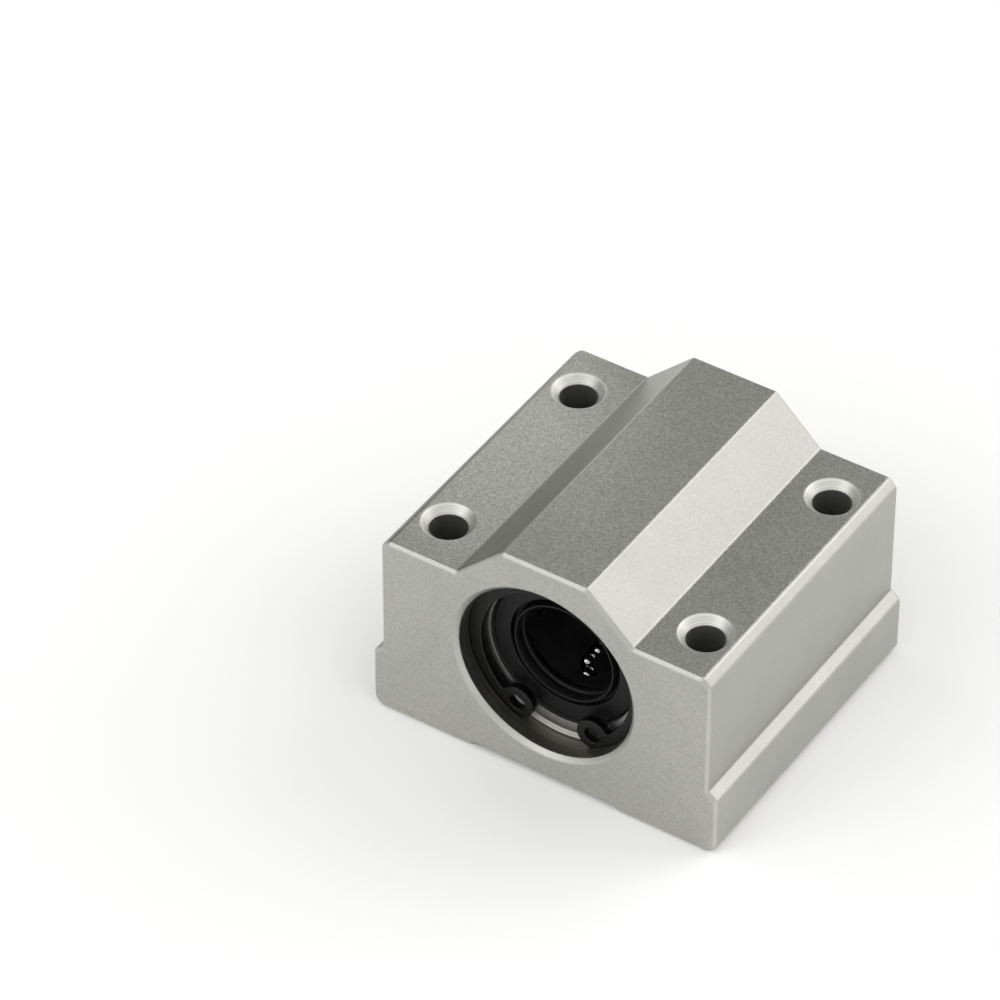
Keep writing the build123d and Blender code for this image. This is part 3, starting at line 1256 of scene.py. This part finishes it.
@dataclass
class Seal:
    """Moulded end seal with a ring groove around its flared lip and two lands on the shaft."""

    finishes: Finishes
    end: End
    outer_edge: float = 0.25 * MM
    moat_width: float = 0.4 * MM
    moat_depth: float = 0.9 * MM
    lip_root: float = 0.55 * MM
    lip_tip: float = 0.2 * MM
    lip_flare: float = 0.12 * MM
    lip_height: float = 0.2 * MM
    lip_lead: float = 0.2 * MM
    lip_land: float = 0.3 * MM
    lip_groove: float = 0.2 * MM
    bore_radius: float = 6.0 * MM
    soft_edge: float = 0.08 * MM
    soft_steps: int = 3
    rim_steps: int = 2
    tip_edge: float = 0.06 * MM
    steps: int = 160

    def build(self) -> None:
        """Builds the seal."""
        node = self.end.node("seal")
        low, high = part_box(node)
        inward = -self.end.value
        outer, bore = high.x, self.bore_radius
        tip_place, back = (high.y, low.y) if self.end is End.REAR else (low.y, high.y)
        face = tip_place + inward * self.lip_height
        moat_floor = face + inward * self.moat_depth
        land = face + inward * self.lip_lead
        land_end, rear_land = land + inward * self.lip_land, back - inward * self.lip_land
        root = bore + self.lip_root
        moat = root + self.moat_width
        tip, groove = bore + self.lip_flare, bore + self.lip_groove
        soft, rim = (self.soft_edge, self.soft_steps), (self.soft_edge, self.rim_steps)
        lip = self.tip_edge, self.soft_steps
        corners = [
            Corner(outer, back),
            Corner(outer, face + inward * self.outer_edge, *rim),
            Corner(outer - self.outer_edge, face, *rim),
            Corner(moat, face, *soft),
            Corner(moat, moat_floor, *soft),
            Corner(root, moat_floor, *soft),
            Corner(tip + self.lip_tip, tip_place, *lip),
            Corner(tip, tip_place, *lip),
            Corner(bore, land, *soft),
            Corner(bore, land_end, *soft),
            Corner(groove, land_end + inward * self.lip_groove),
            Corner(groove, rear_land - inward * self.lip_groove),
            Corner(bore, rear_land, *soft),
            Corner(bore, back),
        ]
        bm = turned(corners, AXIS_Y, self.steps)
        finished(as_object(bm, self.end.node("seal_moulded"), [self.finishes.rubber]), node)


class InnerParts:
    """The pieces whose solids are shown as they are, each with its finish."""

    def __init__(self, finishes: Finishes) -> None:
        """Takes the finishes."""
        self.finishes = finishes

    def dress(self) -> None:
        """Gives every piece the finish that the end of its name calls for."""
        finishes = {
            "_balls": self.finishes.balls,
            "_end_ring": self.finishes.ring,
            "ball_retainer": self.finishes.plastic,
        }
        for name, node in sorted(frame["nodes"].items()):
            for ending, finish in finishes.items():
                if name.endswith(ending):
                    for slot in node.material_slots:
                        slot.material = finish
                    LOG.info("%s: %s", name, finish.name)


# Studio


@dataclass(frozen=True)
class Lamp:
    """A soft rectangular lamp that points at the block.

    Attributes:
        name: Its name.
        place: Its middle.
        size: Lengths of its sides.
        radiance: How bright it looks, where 1 is white.
        colour: Its colour.
    """

    name: str
    place: tuple[float, float, float]
    size: tuple[float, float]
    radiance: float
    colour: Colour = WHITE

    def make(self) -> None:
        """Adds the lamp."""
        light = bpy.data.lights.new(self.name, "AREA")
        light.shape = "RECTANGLE"
        light.size, light.size_y = self.size
        light.energy = self.radiance * pi * self.size[0] * self.size[1]
        light.color = self.colour
        lamp = bpy.data.objects.new(self.name, light)
        bpy.context.scene.collection.objects.link(lamp)
        lamp.location = self.place
        lamp.rotation_mode = "QUATERNION"
        lamp.rotation_quaternion = (-lamp.location).to_track_quat("-Z", "Y")


@dataclass(frozen=True)
class Card:
    """A square card that is only seen mirrored on the block.

    Attributes:
        name: Its name.
        place: Its middle.
        facing: Direction of its front.
        size: Length of its sides.
        tone: How bright it looks, where 1 is white.
    """

    name: str
    place: tuple[float, float, float]
    facing: tuple[float, float, float]
    size: float
    tone: float


@dataclass
class Studio:
    """White room, soft lamps, a grey flag above the back and the camera of the photograph.

    The cards stand for what the block mirrors from its left: a pale one close by and dark ones behind it.
    The floor lies just under the base, by the width of floor_gap.
    """

    floor_size: float = 6.0
    floor_gap: float = 0.02 * MM
    floor_colour: Colour = (0.95, 0.95, 0.94)
    flag_size: float = 2.4
    flag_distance: float = 2.2
    flag_way: tuple[float, float, float] = (-0.41, 0.63, 0.66)
    flag_colour: Colour = (0.3, 0.3, 0.3)
    flag_glow: float = 0.07
    fill: float = 1.04
    camera_place: tuple[float, float, float] = (0.249324, -0.409832, 0.430533)
    camera_way: tuple[float, float, float] = (-0.411206, 0.630097, -0.658701)
    camera_lens: float = 213.16
    camera_range: Span = (0.01, 20.0)
    lamps: tuple[Lamp, ...] = (
        Lamp("lamp_back_right", (0.79, 0.82, 0.63), (0.7, 0.6), 1.6, (1.0, 0.95, 1.0)),
        Lamp("lamp_back_top", (0.27, 0.80, 1.0), (0.5, 0.4), 1.6),
        Lamp("lamp_front_left", (-0.55, -0.85, 0.85), (0.7, 0.6), 1.7),
    )
    cards: tuple[Card, ...] = (
        Card("card_low", (-0.085, 0.033, 0.02), (0.84, -0.54, 0.0), 0.06, 0.05),
        Card("card_high", (-0.034, 0.019, 0.03), (0.51, -0.61, -0.61), 0.031, 0.85),
        Card("card_left", (-0.07, 0.01, 0.052), (0.78, 0.06, -0.62), 0.09, 0.1),
    )

    def make_world(self) -> None:
        """White all around, which shows as the background and fills the shadows."""
        world = bpy.data.worlds.new("studio_world")
        world.use_nodes = True
        bpy.context.scene.world = world
        background = world.node_tree.nodes["Background"]
        background.inputs["Color"].default_value = (*WHITE, 1.0)
        background.inputs["Strength"].default_value = self.fill

    def make_plane(
        self, name: str, size: float, place: Vector, facing: Vector, material: bpy.types.Material,
    ) -> bpy.types.Object:
        """Adds a square plane.

        Args:
            name: Its name.
            size: Length of its sides.
            place: Its middle.
            facing: Direction of its front.
            material: Its material.

        Returns:
            The plane.
        """
        bm = bmesh.new()
        bmesh.ops.create_grid(bm, x_segments=1, y_segments=1, size=size / 2)
        turn = facing.to_track_quat("Z", "Y").to_matrix()
        swung(bm, bm.verts[:], turn)
        moved(bm, place)
        plane = as_object(bm, name, [material])
        return plane

    def make_card(self, card: Card) -> None:
        """Adds a card and hides it from the camera, the floor and the shadows.

        Args:
            card: The card.
        """
        cloth = self.matt(card.name, (0.0, 0.0, 0.0), card.tone)
        plane = self.make_plane(card.name, card.size, Vector(card.place), Vector(card.facing), cloth)
        plane.visible_camera = plane.visible_diffuse = plane.visible_shadow = False

    def matt(self, name: str, colour: Colour, glow: float = 0.0) -> bpy.types.Material:
        """Makes a matt material that may give off some light.

        Args:
            name: Its name.
            colour: Its colour.
            glow: Light that it gives off, where 1 is white.

        Returns:
            The material.
        """
        material = bpy.data.materials.new(name)
        material.use_nodes = True
        shader = material.node_tree.nodes["Principled BSDF"]
        looks = {
            "Base Color": (*colour, 1.0), "Roughness": 1.0, "Specular IOR Level": 0.0,
            "Emission Color": (*WHITE, 1.0), "Emission Strength": glow,
        }
        for label, value in looks.items():
            shader.inputs[label].default_value = value
        return material

    def make_camera(self) -> None:
        """Adds the camera at the photograph's place."""
        data = bpy.data.cameras.new("camera")
        data.lens = self.camera_lens
        data.clip_start, data.clip_end = self.camera_range
        camera = bpy.data.objects.new("camera", data)
        bpy.context.scene.collection.objects.link(camera)
        camera.location = self.camera_place
        camera.rotation_mode = "QUATERNION"
        camera.rotation_quaternion = Vector(self.camera_way).to_track_quat("-Z", "Y")
        bpy.context.scene.camera = camera

    def build(self) -> None:
        """Builds the studio."""
        floor_place = AXIS_Z * (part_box("housing")[0].z - self.floor_gap)
        flag_way = Vector(self.flag_way).normalized()
        self.make_world()
        paper = self.matt("paper", self.floor_colour)
        cloth = self.matt("cloth", self.flag_colour, self.flag_glow)
        self.make_plane("floor", self.floor_size, floor_place, AXIS_Z, paper)
        self.make_plane("flag", self.flag_size, flag_way * self.flag_distance, -flag_way, cloth)
        for lamp in self.lamps:
            lamp.make()
        for card in self.cards:
            self.make_card(card)
        self.make_camera()
        bpy.context.scene.view_settings.view_transform = "Standard"
        LOG.info("studio: %d lamps and %d cards", len(self.lamps), len(self.cards))


def bolt_pattern(record: dict) -> tuple[float, tuple[float, float]]:
    """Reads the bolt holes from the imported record.

    Args:
        record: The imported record.

    Returns:
        The holes' radius and half their spacings, across and along the block.
    """
    dims = next(m["dims"] for m in record["mounts"] if m["name"] == "bolt_holes")
    spacings = dims["spacing_x_mm"], dims["spacing_y_mm"]
    return dims["hole_r_mm"] * MM, (spacings[0] * MM / 2, spacings[1] * MM / 2)


def main() -> None:
    """Builds the block's looks and the studio around it."""
    logging.basicConfig(level=logging.INFO, format="%(name)s: %(message)s")
    hole_radius, bolt_places = bolt_pattern(frame["record"])
    finishes = Finishes(bolt_places)
    Housing(finishes, hole_radius, bolt_places).build()
    Sleeve(finishes).build()
    for end in End:
        Circlip(finishes, end).build()
        Seal(finishes, end).build()
    InnerParts(finishes).dress()
    Studio().build()


if __name__ == "__main__":
    main()
